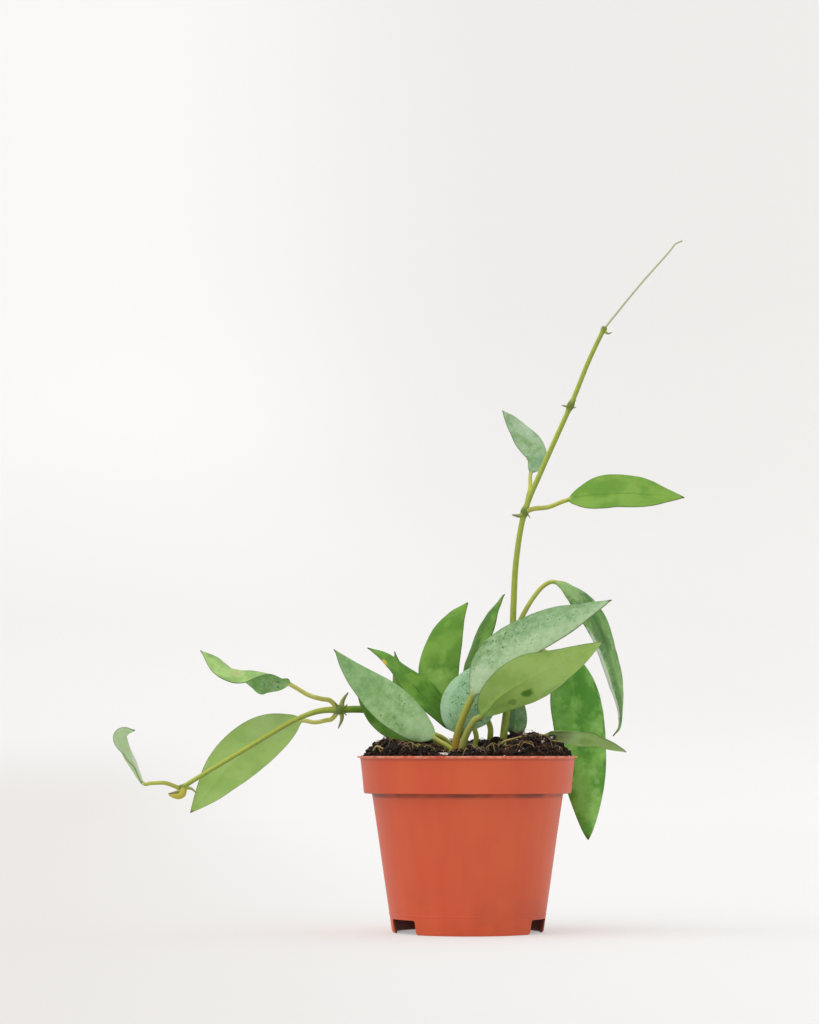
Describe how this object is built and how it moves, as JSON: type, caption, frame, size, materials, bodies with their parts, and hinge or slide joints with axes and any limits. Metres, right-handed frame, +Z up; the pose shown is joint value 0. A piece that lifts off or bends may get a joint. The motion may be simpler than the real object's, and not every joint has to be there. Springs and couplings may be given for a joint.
{
  "type": "house plant",
  "caption": "Young potted hoya: pointed thick leaves on stout petioles, an upright vine and a trailing vine, in a round tapered nursery pot heaped with soil.",
  "frame": {"origin": "centre of the pot's foot, on the surface it stands on", "axes": "+Z up along the pot's axis, +Y to the back, +X to the right: the long vine trails to -X and the upright vine leans to +X"},
  "size_m": [0.3183, 0.1238, 0.3894],
  "materials": {
    "pot_plastic": "satin terracotta-coloured moulded plastic",
    "soil": "dark crumbly potting soil with bark and fibres, matte",
    "vine": "smooth yellow-green stem, darker at the nodes, with a dry brown end",
    "leaf_green": "thick fleshy leaf, satin mid-green with darker veins and margin",
    "leaf_silver": "thick fleshy leaf, satin silver-green upper side with dark green flecks",
    "leaf_pale": "thick fleshy leaf whose pale matte underside faces the front"
  },
  "bodies": {
    "root": {"leaf_centre_narrow": "leaf_green", "leaf_centre_round": "leaf_silver", "leaf_centre_upright": "leaf_green", "leaf_front_green": "leaf_pale", "leaf_front_silver": "leaf_silver", "leaf_left_back": "leaf_green", "leaf_left_dark": "leaf_green", "leaf_left_front": "leaf_silver", "leaf_left_low": "leaf_green", "leaf_right_arching": "leaf_silver", "leaf_right_hanging": "leaf_green", "leaf_right_low": "leaf_pale", "leaf_top_left": "leaf_silver", "leaf_top_right": "leaf_green", "leaf_trail_lower": "leaf_pale", "leaf_trail_tip": "leaf_silver", "leaf_trail_upper": "leaf_pale", "leaf_young": "leaf_silver", "pot": "pot_plastic", "soil": "soil", "vine_trailing": "vine", "vine_upright": "vine"}
  },
  "joints": []
}
